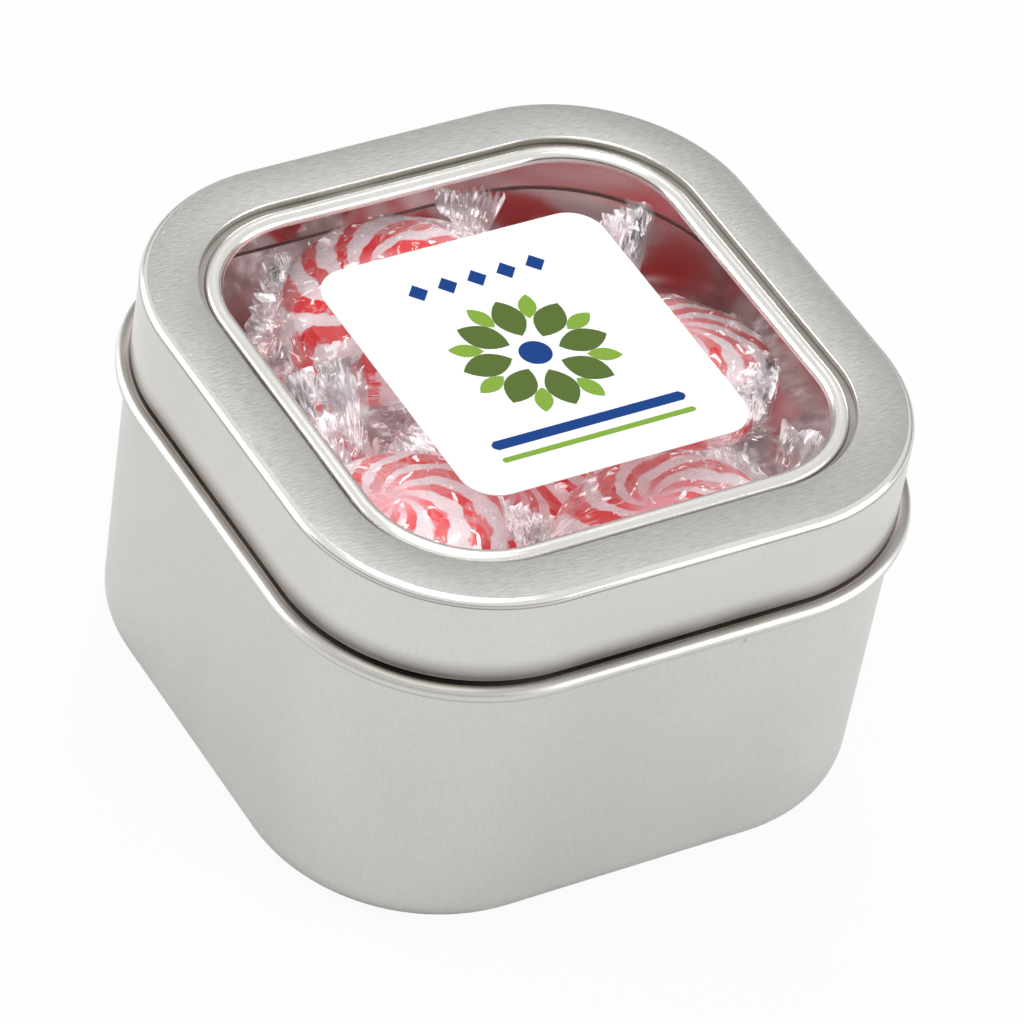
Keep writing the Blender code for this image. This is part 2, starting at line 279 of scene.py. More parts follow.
# Painted seam shade: a dull brown line painted where a bead or a cut edge meets the sheet,
# standing in for the shade in the gap there.
seam_shade, given, leave = effect(
    "seam shade",
    [("Place", "Vector", None), ("Seam Height", "Float", 0.04), ("Reach", "Float", 0.001)],
    ["Painted Shade"])
height = add_node(seam_shade, "SeparateXYZ", {"Vector": given["Place"]}).outputs["Z"]
off_seam = maths(seam_shade, "ABSOLUTE",
                 maths(seam_shade, "SUBTRACT", height, given["Seam Height"]))
fading = ranged(seam_shade, off_seam, given["Reach"], 0.0, kind="SMOOTHSTEP")
patchy = maths(seam_shade, "MULTIPLY", cloudy(seam_shade, given["Place"], 90.0), 0.8)
set_inputs(seam_shade, leave, {"Painted Shade": maths(
    seam_shade, "MULTIPLY", fading, maths(seam_shade, "ADD", patchy, 0.5))})

# Colour of the painted shade along the seams.
seam_shade_colour = (0.16, 0.13, 0.11)
fine_grain = (3000, 3000, 900)
grain_relief = 0.00004


def tinplate(name, colour, roughness, streak_size, streak_depth, colour_swing, rough_swing=0.10,
             seams=()):
    """Tinplate with its grain in colour, roughness and height, and painted shade at its seams."""
    material, tree, shader = new_material(name)
    place = own_place(tree)
    grain = add_node(tree, "Group", {}, node_tree=rolled_grain)
    set_inputs(tree, grain, {"Place": place, "Streak Size": streak_size})
    dark = [part * (1 - colour_swing) for part in colour]
    pale = [min(part * (1 + colour_swing), 1.0) for part in colour]
    tinted = ramp_colour(tree, grain.outputs["Streaks"], (0.30, dark), (0.70, pale))
    # Painted shade: near each seam's height the colour darkens towards a dull brown.
    for seam_height, reach in seams:
        seam_shading = add_node(tree, "Group", {}, node_tree=seam_shade)
        set_inputs(tree, seam_shading, {"Place": place, "Seam Height": seam_height, "Reach": reach})
        share = maths(tree, "MULTIPLY", seam_shading.outputs["Painted Shade"], 0.8)
        tinted = mixed_colour(tree, share, tinted, seam_shade_colour)
    set_inputs(tree, shader, {
        "Metallic": 1.0,
        "Base Color": tinted,
        "Roughness": ranged(tree, grain.outputs["Clouds"], 0.3, 0.7, roughness - rough_swing / 2,
                            roughness + rough_swing / 2),
        "Normal": relief(tree, grain.outputs["Streaks"], streak_depth, grain_relief)})
    return material


# The wall gets painted shade just under the stop bead and along its top, where the gap under the
# skirt is.
satin_wall = tinplate("satin_tinplate", (0.72, 0.71, 0.685), 0.38, fine_grain, 0.30, 0.035, 0.14,
                      seams=((stop_bead_middle - 1.1 * stop_bead_radius, 0.9 * MM),
                             (stop_bead_top, 0.6 * MM)))
# The inside sheet is tinted pink: a painted reflection of the red mints it holds.
bright_inside = tinplate("bright_tinplate", (0.60, 0.52, 0.51), 0.16, fine_grain, 0.12, 0.02, 0.06)
tin_box.data.materials.append(satin_wall)
tin_box.data.materials.append(bright_inside)
for face in tin_box.data.polygons:
    inwards = face.normal.x * face.center.x + face.normal.y * face.center.y < 0
    on_floor = face.normal.z > 0.7 and face.center.z < base_edge_radius
    if inwards or on_floor:
        face.material_index = 1

# Mints. Each is a turned disc of pulled sugar, white with red stripes that
# run straight over the rim and curl in to the middle of both faces. They lie
# as they were poured in, so each has its own place, turn and lean.
mint_diameter = 25.0 * MM
mint_thickness = 11.6 * MM
mint_edge_radius = 3.4 * MM
mint_dome = 0.9 * MM
mint_radius = mint_diameter / 2

neck_length = 1.8 * MM
neck_at = mint_radius + clearance + neck_length
neck_search = 0.6 * MM
mint_sides = 72
mint_edge_cuts = 9
mint_dome_rings = 9
mint_count = sum(name.startswith("mint_") for name in frame["nodes"])


def corners_of(name):
    """Corners of a CAD node, each one once."""
    corners = {tuple(round(part, 6) for part in vert.co)
               for vert in frame["nodes"][name].data.vertices}
    return np.array(sorted(corners))


def main_directions(points):
    """Directions in which points spread round zero, the least spread first."""
    return np.linalg.eigh(points.T @ points)[1].T


def mint_place(number):
    """Where a mint lies: its solid gives the middle and the lean, its film's necks the spin."""
    low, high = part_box("mint_{:02d}".format(number))
    middle = (np.array(low) + np.array(high)) / 2
    upright = main_directions(corners_of("mint_{:02d}".format(number)) - middle)[0]
    upright = upright * math.copysign(1, upright[2])
    tube = corners_of("wrapper_{:02d}".format(number)) - middle
    along = main_directions(tube - np.outer(tube @ upright, upright))[2]
    aside = np.linalg.norm(tube - np.outer(tube @ along, along), axis=1)
    left, right = (tube[(abs(end * (tube @ along) - neck_at) < neck_search)
                        & (aside < 2 * neck_length)].mean(axis=0) for end in (-1, 1))
    upright = Vector(upright)
    along = Vector(right - left)
    along = (along - along.dot(upright) * upright).normalized()
    place = Matrix((along, upright.cross(along), upright)).transposed().to_4x4()
    place.translation = Vector(middle)
    return place


mint_places = {number: mint_place(number) for number in range(1, mint_count + 1)}


def select_faces(piece, wanted):
    """Select the faces that a test picks, from outside edit mode and back in it."""
    bpy.ops.mesh.select_all(action="DESELECT")
    bpy.ops.mesh.select_mode(type="FACE")
    bpy.ops.object.mode_set(mode="OBJECT")
    for face in piece.data.polygons:
        face.select = wanted(face)
    bpy.ops.object.mode_set(mode="EDIT")


def turn_first_mint():
    """Disc with a rounded edge and domed faces, about its own middle."""
    bpy.ops.object.select_all(action="DESELECT")
    bpy.ops.mesh.primitive_cylinder_add(vertices=mint_sides, radius=mint_radius,
                                        depth=mint_thickness - 2 * mint_dome)
    disc = bpy.context.active_object
    bpy.ops.object.mode_set(mode="EDIT")
    select_faces(disc, lambda face: abs(face.normal.z) > 0.9)
    bpy.ops.mesh.bevel(offset=mint_edge_radius, segments=mint_edge_cuts, affect="EDGES")
    rings = mint_dome_rings
    flat = mint_radius - mint_edge_radius
    for side in (1, -1):
        select_faces(disc, lambda face: face.normal.z * side > 0.99 and len(face.vertices) > 4)
        for ring in range(1, rings):
            before = 1 - (1 - (ring - 1) / rings) ** 2
            after = 1 - (1 - ring / rings) ** 2
            bpy.ops.mesh.inset(thickness=flat / rings, depth=mint_dome * (after - before))
        bpy.ops.mesh.poke()
    bpy.ops.mesh.select_all(action="SELECT")
    bpy.ops.mesh.remove_doubles(threshold=merge_reach)
    bpy.ops.mesh.normals_make_consistent(inside=False)
    bpy.ops.object.mode_set(mode="OBJECT")
    bpy.ops.object.shade_smooth()
    return disc


stripe_pairs = 9.0
stripe_curl = 3.4
pink_sugar = (0.88, 0.36, 0.41)
pulled_sugar, tree, shader = new_material("pulled_sugar")
own_map = add_node(tree, "UVMap", {}, uv_map="stripes").outputs["UV"]
centred = add_node(tree, "Mapping", {"Vector": own_map, "Location": (-0.5, -0.5, 0.0)})
centred = centred.outputs["Vector"]
place = own_place(tree)
parts = add_node(tree, "SeparateXYZ", {"Vector": centred}).outputs
angle = maths(tree, "ARCTAN2", parts["Y"], parts["X"])
radius = add_node(tree, "VectorMath", {0: centred}, operation="LENGTH").outputs["Value"]
curl = maths(tree, "MULTIPLY", maths(tree, "POWER", radius, 0.6), stripe_curl)
drift = maths(tree, "MULTIPLY", cloudy(tree, place, 260.0), 0.55)
turned = maths(tree, "ADD", maths(tree, "ADD", angle, curl), drift)
wave = maths(tree, "SINE", maths(tree, "MULTIPLY", turned, stripe_pairs))
slow_wave = maths(tree, "SINE", maths(tree, "MULTIPLY", turned, 2.0))
mixed = maths(tree, "ADD", wave, maths(tree, "MULTIPLY", slow_wave, 0.35))
stripe = ramp_colour(tree, ranged(tree, mixed, -0.18, 0.18), (0.0, (0.90, 0.75, 0.78)),
                     (1.0, (0.80, 0.012, 0.018)), (0.45, (0.90, 0.40, 0.45)))
blush = mixed_colour(tree, ranged(tree, radius, 0.21, 0.04), stripe, pink_sugar)
set_inputs(tree, shader, {
    "Base Color": blush,
    # Painted glow: the sugar gives off a faint light in its own colours, though it is no lamp.
    "Emission Color": blush,
    "Emission Strength": 0.24,
    "Roughness": 0.22,
    "Coat Weight": 0.35,
    "Coat Roughness": 0.08,
    "Subsurface Weight": 0.25,
    "Subsurface Radius": (1.0, 0.45, 0.4),
    "Subsurface Scale": 0.0012,
    "Normal": relief(tree, cloudy(tree, place, 900.0), 0.25, 0.0002)})

stripe_turn = math.radians(11)
first_mint = turn_first_mint()
first_mint.name = "candy_first"
first_mint.data.materials.append(pulled_sugar)
first_mint.data.uv_layers.new(name="stripes")
for number, place in mint_places.items():
    bpy.ops.object.select_all(action="DESELECT")
    first_mint.select_set(True)
    bpy.context.view_layer.objects.active = first_mint
    bpy.ops.object.duplicate()
    candy = bpy.context.active_object
    candy.name = "candy_{:02d}".format(number)
    turn = number * stripe_turn
    own = candy.data.uv_layers["stripes"].data
    for loop in candy.data.loops:
        at = candy.data.vertices[loop.vertex_index].co
        across = (at.x * math.cos(turn) - at.y * math.sin(turn)) / mint_diameter
        along = (at.x * math.sin(turn) + at.y * math.cos(turn)) / mint_diameter
        own[loop.index].uv = (0.5 + across, 0.5 + along)
    candy.matrix_world = place
    bpy.ops.object.transform_apply(location=True, rotation=True, scale=True)
    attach(candy, "box")
    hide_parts("mint_{:02d}".format(number))
bpy.data.objects.remove(first_mint)

# Wrappers. A square of clear film is rolled round each mint and twisted at both
# ends. It lies close on the faces, is gathered in pleats that run to the two
# necks, and opens past them into crumpled fans.
neck_radius = 1.5 * MM
tail_length = 5.5 * MM
tail_width = 8.5 * MM
tail_gap = 1.0 * MM
pleat_height = 0.9 * MM
film_stand_off = 0.16 * MM
film_thickness = 0.20 * MM
twist = math.radians(35)
swell_rows = 76
tail_rows = 26
film_columns = 132
# Length and width of a fan, the widest first, and how far it may bend up or down and
# swing aside off its tail's line.
fan_sizes = tuple((long * MM, wide * MM) for long, wide in
                  ((13.0, 16.0), (11.5, 14.0), (10.0, 12.0), (8.0, 10.5), (6.5, 9.0), (5.0, 7.0),
                   (4.0, 5.5)))
fan_turns = tuple((math.radians(bend), math.radians(swing)) for swing in (0, 22, -22, 44, -44)
                  for bend in (0, 14, -14, 28, -28, 42, -42))
trial_rows = 8
trial_columns = 24
# Folds of flat film as (spacing, depth) in mm, two headings each, and pleats round a neck.
film_folds = ((7.5, 0.17), (5.6, 0.14), (4.1, 0.11), (3.0, 0.08), (2.2, 0.055))
pleat_counts = (9, 11, 13)
first_habit = 40
wander_scale = 210.0
wander_reach = 0.0011
# The film leaves the rim and the faces of the mint at these distances from its middle.
leaves_rim = 11.3 * MM
leaves_face = 9.6 * MM
rim_slack = 0.12 * MM
face_slack = 0.35 * MM
swell_squareness = 3.1
neck_rounding = 1.1
gather_start = 0.35
pleat_lift = 0.42 * MM
mouth_raggedness = 0.16
bend_pace = 2.2
opening_power = 0.7
fan_crumple = 1.3
push_growth = 1.012
push_step = 0.01 * MM
push_tries = 60
middle_crowding = 0.35
film_seed = 7
noise.seed_set(film_seed)    # without it noise_vector starts from the clock


def fold(value):
    """Sharp fold that runs from -1 to 1 and back as the value goes up by one."""
    return 4 * abs(value - math.floor(value + 0.5)) - 1


def crumple(place, folds):
    """Height of crossing folds in flat film, each with its own heading and spacing."""
    wander = noise.noise_vector(place * wander_scale) * wander_reach
    height = 0.0
    for heading, spacing, depth, start in folds:
        height += depth * fold((place + wander).dot(heading) / spacing + start)
    return height


def mint_depth(across):
    """Half the mint's thickness at a distance from its axis."""
    shoulder = mint_thickness / 2 - mint_dome - mint_edge_radius
    flat = mint_radius - mint_edge_radius
    if across <= flat:
        return mint_thickness / 2 - mint_dome * (across / flat) ** 2
    if across >= mint_radius:
        return 0.0
    return shoulder + math.sqrt(mint_edge_radius ** 2 - (across - flat) ** 2)


def off_the_mint(place):
    """Move a point of the film straight out from the twist's line until it is clear."""
    for _ in range(push_tries):
        if abs(place.z) >= mint_depth(math.hypot(place.x, place.y)) + film_stand_off:
            return place
        if math.hypot(place.x, place.y) >= mint_radius + film_stand_off:
            return place
        place = Vector((place.x, place.y * push_growth,
                        place.z * push_growth + math.copysign(push_step, place.z)))
    return place


def swell_point(along, around, folds, pleats):
    """Point of the film round the mint, at a place along the twist's line."""
    far = abs(along)
    reach = mint_radius + film_stand_off + rim_slack
    if far < leaves_rim:
        wide = math.sqrt(reach ** 2 - far ** 2)
    else:
        share = (far - leaves_rim) / (neck_at - leaves_rim)
        wide = (1 - share) * math.sqrt(reach ** 2 - leaves_rim ** 2) + share * neck_radius
    if far < leaves_face:
        deep = mint_depth(far) + face_slack
    else:
        share = (far - leaves_face) / (neck_at - leaves_face)
        deep = (1 - share) * (mint_depth(leaves_face) + face_slack) + share * neck_radius
    toward = min(far / neck_at, 1.0)
    power = swell_squareness - neck_rounding * toward ** 3
    ring = abs(math.cos(around)) ** power + abs(math.sin(around)) ** power
    size = ring ** (-1 / power)
    place = Vector((along, wide * size * math.cos(around), deep * size * math.sin(around)))
    outward = Vector((0.0, math.cos(around) * deep, math.sin(around) * wide)).normalized()
    gather = max(0.0, (toward - gather_start) / (1 - gather_start))
    pleat = fold(pleats * around / (2 * math.pi) + 0.6 * noise.noise(place * 160.0))
    lift = pleat_lift * gather * (1 - gather ** 6) * (pleat + 0.4)
    lift += crumple(place, folds) * (1 - 0.6 * gather)
    return off_the_mint(place + outward * lift)


def tail_point(end, share, around, rise, fan, folds, pleats):
    """Point of the fan past a neck: round at the neck, flat and pleated at its mouth."""
    length, width, bend, swing = fan
    rise += bend
    ragged = 1 + mouth_raggedness * noise.noise(
        Vector((math.cos(around) * 2.5, end * 7.0 + rise, pleats)))
    out = share * length * (1 + (ragged - 1) * share)
    tilt = rise * min(1.0, share * bend_pace)
    heading = Vector((end * math.cos(rise), 0.0, math.sin(rise)))
    upward = Vector((-end * math.sin(tilt), 0.0, math.cos(tilt)))
    opened = share ** opening_power
    wide = neck_radius + (width / 2 - neck_radius) * opened
    deep = neck_radius + (tail_gap / 2 - neck_radius) * opened
    zigzag = fold(pleats * math.cos(around) * 0.5 + 0.5 * noise.noise(
        Vector((around, share * 2.0, end * 3.0 + rise))))
    flat_y = wide * math.cos(around)
    flat_z = deep * math.sin(around) + pleat_height * width / tail_width * opened * zigzag
    turn = end * twist * share
    side = flat_y * math.cos(turn) - flat_z * math.sin(turn)
    over = flat_y * math.sin(turn) + flat_z * math.cos(turn)
    place = heading * out + Vector((0.0, side, 0.0)) + upward * over
    place.rotate(Matrix.Rotation(swing * min(1.0, share * bend_pace), 3, "Z"))
    place += Vector((end * neck_at, 0.0, 0.0))
    return place + upward * crumple(place, folds) * fan_crumple * opened


def film_habit(number):
    """Folds and pleats of one wrapper, drawn by its own seeded chance."""
    chance = random.Random(first_habit + number)
    folds = []
    for spacing, depth in film_folds:
        for _ in range(2):
            heading = Vector((chance.uniform(-1, 1), chance.uniform(-1, 1),
                              chance.uniform(-1, 1))).normalized()
            folds.append((heading, spacing * MM, depth * MM, chance.random()))
    return folds, chance.choice(pleat_counts)


def tail_lift(number, end):
    """Lift of a tail: the angle at which most corners of its solid lie in its mouth's plane."""
    back = mint_places[number].inverted()
    corners = np.array([back @ Vector(corner) for corner in
                        corners_of("wrapper_{:02d}".format(number))]) - (end * neck_at, 0.0, 0.0)
    beside = np.abs(corners[:, 1]) < tail_width
    in_plane = []
    for degree in range(90):
        lift = math.radians(degree)
        out = end * corners[:, 0] * math.cos(lift) + corners[:, 2] * math.sin(lift)
        over = corners[:, 2] * math.cos(lift) - end * corners[:, 0] * math.sin(lift)
        mouth = (np.abs(out - tail_length) < film_thickness) & (np.abs(over) < tail_width)
        in_plane.append(int(np.sum(mouth & beside)))
    likely = [degree for degree, count in enumerate(in_plane) if count == max(in_plane)]
    return math.radians(sum(likely) / len(likely))


tail_lifts = {(number, end): tail_lift(number, end)
              for number in mint_places for end in (-1, 1)}


def fan_rows(number, end, fan, rows, columns):
    """Rings of points of one fan, from just past the neck to the mouth."""
    folds, pleats = film_habit(number)
    rise = tail_lifts[number, end]
    return [[tail_point(end, row / rows, 2 * math.pi * column / columns, rise, fan, folds, pleats)
             for column in range(columns)] for row in range(1, rows + 1)]


def ring_faces(rows, columns):
    """Faces between rings of points, one ring after another."""
    faces = []
    for row in range(rows - 1):
        for column in range(columns):
            beside = (column + 1) % columns
            faces.append((row * columns + beside, row * columns + column,
                          (row + 1) * columns + column, (row + 1) * columns + beside))
    return faces


def node_tree_of(name):
    """Search tree of a CAD node's faces."""
    mesh = frame["nodes"][name].data
    return BVHTree.FromPolygons([vert.co for vert in mesh.vertices],
                                [tuple(face.vertices) for face in mesh.polygons])


def room_for_fans():
    """Largest fan at each end of each wrapper that touches nothing round it, top ones first."""
    solid = {name: node_tree_of(name) for name in frame["nodes"]
             if not name.startswith("mint_")}
    opened = {}
    fans = {}
    for number in reversed(mint_places):
        own = "wrapper_{:02d}".format(number)
        place = mint_places[number]
        for end in (-1, 1):
            for fan in ((*size, *turn) for size in fan_sizes for turn in fan_turns):
                rows = fan_rows(number, end, fan, trial_rows, trial_columns)
                points = [place @ point for ring in rows for point in ring]
                tree = BVHTree.FromPolygons(points, ring_faces(trial_rows, trial_columns))
                met = any(tree.overlap(other) for name, other in solid.items() if name != own)
                if not met and not any(tree.overlap(other) for other in opened.values()):
                    break
            fans[number, end] = fan
            opened[number, end] = tree
    return fans


fans = room_for_fans()


def wrap_mint(number):
    """Film of one mint as a single open sheet, put where its mint lies."""
    folds, pleats = film_habit(number)
    left = fan_rows(number, -1, fans[number, -1], tail_rows, film_columns)
    right = fan_rows(number, 1, fans[number, 1], tail_rows, film_columns)
    swell = []
    lengthwise = []
    for row in range(swell_rows + 1):
        share = math.sin(math.pi * (row / swell_rows - 0.5))
        lengthwise.append(middle_crowding * share
                          + (1 - middle_crowding) * (2 * row / swell_rows - 1))
        swell.append([swell_point(neck_at * lengthwise[-1], 2 * math.pi * column / film_columns,
                                  folds, pleats) for column in range(film_columns)])
    rows = left[::-1] + swell + right
    far_left = [fans[number, -1][0] / neck_at * row / tail_rows for row in range(1, tail_rows + 1)]
    far_right = [fans[number, 1][0] / neck_at * row / tail_rows for row in range(1, tail_rows + 1)]
    lengthwise = [-1 - far for far in far_left[::-1]] + lengthwise + [1 + far for far in far_right]
    mesh = bpy.data.meshes.new("film_{:02d}".format(number))
    mesh.from_pydata([point for row in rows for point in row], [],
                     ring_faces(len(rows), film_columns))
    lay = mesh.uv_layers.new(name="lay").data
    for face in mesh.polygons:
        for corner, loop in enumerate(face.loop_indices):
            row, column = divmod(mesh.loops[loop].vertex_index, film_columns)
            if column == 0 and corner in (0, 3):
                column = film_columns
            lay[loop].uv = (column / film_columns, lengthwise[row])
    mesh.transform(mint_places[number])
    film = bpy.data.objects.new("film_{:02d}".format(number), mesh)
    bpy.context.scene.collection.objects.link(film)
    mesh.shade_smooth()
    mesh.set_sharp_from_angle(angle=math.radians(40))
    return film


# Creases of film and painted highlights on them, on its place and on its lay, which runs round the
# twist and along it. Lines and Haze follow the place; Lines are white crease lines, partly
# whitened film and partly painted highlight. Streaks are painted highlights along the pleats that
# run to the necks, and Glints are painted glints.
crease_glint_group, given, leave = effect(
    "film crease glints",
    [("Place", "Vector", None), ("Lay", "Vector", None), ("Cell Size", "Float", 300.0),
     ("Line Width", "Float", 0.03)],
    ["Lines", "Haze", "Streaks", "Glints", "Height"])
place = given["Place"]
warp = add_node(crease_glint_group, "TexNoise", {"Vector": place, "Scale": 180.0}).outputs["Color"]
small = add_node(crease_glint_group, "VectorMath", {0: warp, "Scale": 0.004}, operation="SCALE").outputs[0]
bent = add_node(crease_glint_group, "VectorMath", {0: place, 1: small}, operation="ADD").outputs[0]

cells = add_node(crease_glint_group, "TexVoronoi", {"Vector": bent, "Scale": given["Cell Size"]},
                 feature="DISTANCE_TO_EDGE").outputs["Distance"]
line = ranged(crease_glint_group, cells, 0.0, given["Line Width"], 1.0, 0.0)
broken = ranged(crease_glint_group, cloudy(crease_glint_group, bent, 420.0, detail=3.0), 0.50, 0.66)

lay = add_node(crease_glint_group, "SeparateXYZ", {"Vector": given["Lay"]}).outputs
around = maths(crease_glint_group, "MULTIPLY", lay["X"], 2 * math.pi)
ring = add_node(crease_glint_group, "CombineXYZ", {
    "X": maths(crease_glint_group, "MULTIPLY", maths(crease_glint_group, "COSINE", around), 7.0),
    "Y": maths(crease_glint_group, "MULTIPLY", maths(crease_glint_group, "SINE", around), 7.0),
    "Z": maths(crease_glint_group, "MULTIPLY", lay["Y"], 1.3)}).outputs[0]
own_start = add_node(crease_glint_group, "VectorMath", {0: place, "Scale": 60.0},
                     operation="SCALE").outputs[0]
lay_place = add_node(crease_glint_group, "VectorMath", {0: ring, 1: own_start}, operation="ADD").outputs[0]
fine_place = add_node(crease_glint_group, "VectorMath", {0: lay_place, 1: (2.3, 2.3, 1.5)},
                      operation="MULTIPLY").outputs[0]


def ridges(where, detail, width, core):
    """Thin lines where a noise passes through its middle value."""
    off_middle = maths(crease_glint_group, "ABSOLUTE", maths(
        crease_glint_group, "SUBTRACT", cloudy(crease_glint_group, where, 1.0, detail=detail), 0.5))
    return ranged(crease_glint_group, off_middle, width, core)


# Painted highlights: thin white ridges along the lay and in fine folds, kept only in patches where
# they are taken to catch the light.
both_ridges = maths(crease_glint_group, "MAXIMUM", ridges(lay_place, 2.5, 0.034, 0.006),
                    ridges(fine_place, 1.5, 0.030, 0.008))
caught = ranged(crease_glint_group, cloudy(crease_glint_group, place, 330.0), 0.47, 0.60)
drawn_in = ranged(crease_glint_group, maths(crease_glint_group, "ABSOLUTE", lay["Y"]), 0.35, 1.05, low=0.16)
hazy = ranged(crease_glint_group, cloudy(crease_glint_group, bent, 140.0, detail=4.0), 0.38, 0.72)
# Painted glints: small white flecks.
flecks = cloudy(crease_glint_group, bent, 520.0, detail=1.5, distortion=1.2)
crackle = add_node(crease_glint_group, "TexVoronoi", {"Vector": bent, "Scale": 620.0}).outputs["Distance"]
lit_ridges = maths(crease_glint_group, "MULTIPLY", both_ridges, caught)
set_inputs(crease_glint_group, leave, {
    "Lines": maths(crease_glint_group, "MULTIPLY", line, broken),
    "Haze": maths(crease_glint_group, "MULTIPLY", hazy, drawn_in),
    "Streaks": maths(crease_glint_group, "MULTIPLY", lit_ridges, drawn_in),
    "Glints": ranged(crease_glint_group, flecks, 0.63, 0.68),
    "Height": crackle})

# Clear film: little of it is seen where it lies smooth, more at a low angle and at creases, and
# most at its painted highlights and glints.
clear_film, tree, shader = new_material("clear_film")
crease_glint_node = add_node(tree, "Group", {}, node_tree=crease_glint_group)
set_inputs(tree, crease_glint_node, {
    "Place": own_place(tree), "Lay": add_node(tree, "UVMap", {}, uv_map="lay").outputs["UV"]})
facing = add_node(tree, "LayerWeight", {"Blend": 0.22}).outputs["Fresnel"]
cover = maths(tree, "MULTIPLY", facing, 0.30)
for mark, share in (("Haze", 0.52), ("Lines", 0.35), ("Streaks", 0.95), ("Glints", 0.90)):
    cover = maths(tree, "ADD", cover, maths(tree, "MULTIPLY", crease_glint_node.outputs[mark], share))
set_inputs(tree, shader, {
    # The film's faint pink is painted: it stands in for the mints' red light in its haze.
    "Base Color": (0.97, 0.93, 0.95, 1),
    "Metallic": 0.20,
    "Roughness": 0.10,
    "Alpha": ranged(tree, cover, 0.0, 1.0, 0.02, 0.96),
    # Painted glow: the streak highlights and glints give off light of their own.
    "Emission Color": maths(tree, "MAXIMUM", crease_glint_node.outputs["Streaks"],
                            crease_glint_node.outputs["Glints"]),
    "Emission Strength": 0.50,
    "Normal": relief(tree, crease_glint_node.outputs["Height"], 0.5, 0.00015)})

for number in mint_places:
    film = wrap_mint(number)
    film.data.materials.append(clear_film)
    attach(film, "box")
    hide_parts("wrapper_{:02d}".format(number))

# Lid frame. One ring of tinplate: a straight skirt, a small round edge, the
# flat border, a narrow groove and the bead rolled round the window opening.
# The border keeps the grain of the rolled sheet under a colour painted darker as shade, and the
# edges are polished.
lid_edge_radius = 1.0 * MM
border_width = 6.7 * MM
groove_width = 0.7 * MM
groove_depth = 1.0 * MM
window_bead_radius = 1.15 * MM
window_bead_drop = 0.25 * MM

window_half = lid_half - border_width - groove_width - 2 * window_bead_radius
window_bead_middle = tin_height - window_bead_drop - window_bead_radius
groove_floor = tin_height - groove_depth
groove_outer = window_half + 2 * window_bead_radius + groove_width

bead_foot = math.degrees(math.asin((groove_floor - window_bead_middle) / window_bead_radius))
lip_round = 0.15 * MM
lid_edge_cuts = 10
lip_cuts = 4
window_bead_cuts = 16
lid_profile = [(lid_half, skirt_foot)]
lid_profile += arc((lid_half - lid_edge_radius, tin_height - lid_edge_radius),
                   lid_edge_radius, 0, 90, lid_edge_cuts)
lid_profile += arc((groove_outer + lip_round, tin_height - lip_round), lip_round, 90, 180,
                   lip_cuts)
lid_profile.append((groove_outer, groove_floor))
lid_profile += arc((window_half + window_bead_radius, window_bead_middle),
                   window_bead_radius, bead_foot, 180, window_bead_cuts)
tin_lid = draw_profile("lid_drawn", lid_profile)
carry_round()
close_sheet(tin_lid, sheet, 32)
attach(tin_lid, "lid")
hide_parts("lid_frame")

# The groove round the window gets a painted shade line.
polished = tinplate("polished_tinplate", (0.80, 0.785, 0.75), 0.22, fine_grain, 0.15, 0.02,
                    seams=((groove_floor, 0.35 * MM),))
# Painted shade: the border's colour is about half the skirt's, for the darker room its top
# mirrors.
border = tinplate("grained_tinplate", (0.38, 0.38, 0.365), 0.42, (700, 4200, 3000), 0.9, 0.16)
# Painted shade: the skirt darkens over its lowest 3 mm, above the stop bead.
skirt = tinplate("lid_skirt_tinplate", (0.76, 0.755, 0.73), 0.34, fine_grain, 0.25, 0.03, 0.12,
                 seams=((skirt_foot, 3.2 * MM),))
for finish in (skirt, polished, border):
    tin_lid.data.materials.append(finish)
for face in tin_lid.data.polygons:
    middle = face.center
    if middle.z > tin_height - 0.02 * MM:
        face.material_index = 2
    elif middle.z > tin_height - lid_edge_radius and face.normal.z > -0.2:
        face.material_index = 1

# Window. A thin clear sheet with round corners lies under the bead, and a
# pressed ring of tinplate behind it holds it there. The ring keeps its CAD
# solid, which is right as it is, and gets its finish here.
clear_sheet, tree, shader = new_material("clear_window_sheet")
facing = add_node(tree, "LayerWeight", {"Blend": 0.25}).outputs["Fresnel"]
veil = maths(tree, "MULTIPLY", facing, 0.15)
rub = maths(tree, "MULTIPLY", cloudy(tree, own_place(tree), 120.0), 0.02)
set_inputs(tree, shader, {
    "Base Color": (0.97, 0.98, 0.98, 1),
    "Metallic": 1.0,
    "Roughness": 0.03,
    "Alpha": maths(tree, "ADD", veil, rub)})
sheet_corner_cuts = 14
pane_low, pane_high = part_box("window_pane")
pane_side = pane_high[0] - pane_low[0]
bpy.ops.object.select_all(action="DESELECT")
bpy.ops.mesh.primitive_plane_add(size=pane_side, location=(0, 0, pane_high[2]))
window_sheet = bpy.context.active_object
window_sheet.name = "window_sheet"
bpy.ops.object.transform_apply(location=True, rotation=True, scale=True)
bpy.ops.object.mode_set(mode="EDIT")
bpy.ops.mesh.select_mode(type="VERT")
bpy.ops.mesh.select_all(action="SELECT")
bpy.ops.mesh.bevel(offset=pane_side / 2 - corner_centre, segments=sheet_corner_cuts,
                   affect="VERTICES")
bpy.ops.object.mode_set(mode="OBJECT")
window_sheet.data.materials.append(clear_sheet)
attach(window_sheet, "lid")
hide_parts("window_pane")
ring_plate = tinplate("retainer_tinplate", (0.64, 0.63, 0.60), 0.38, fine_grain, 0.3, 0.03)
frame["nodes"]["window_retainer"].data.materials.clear()
frame["nodes"]["window_retainer"].data.materials.append(ring_plate)

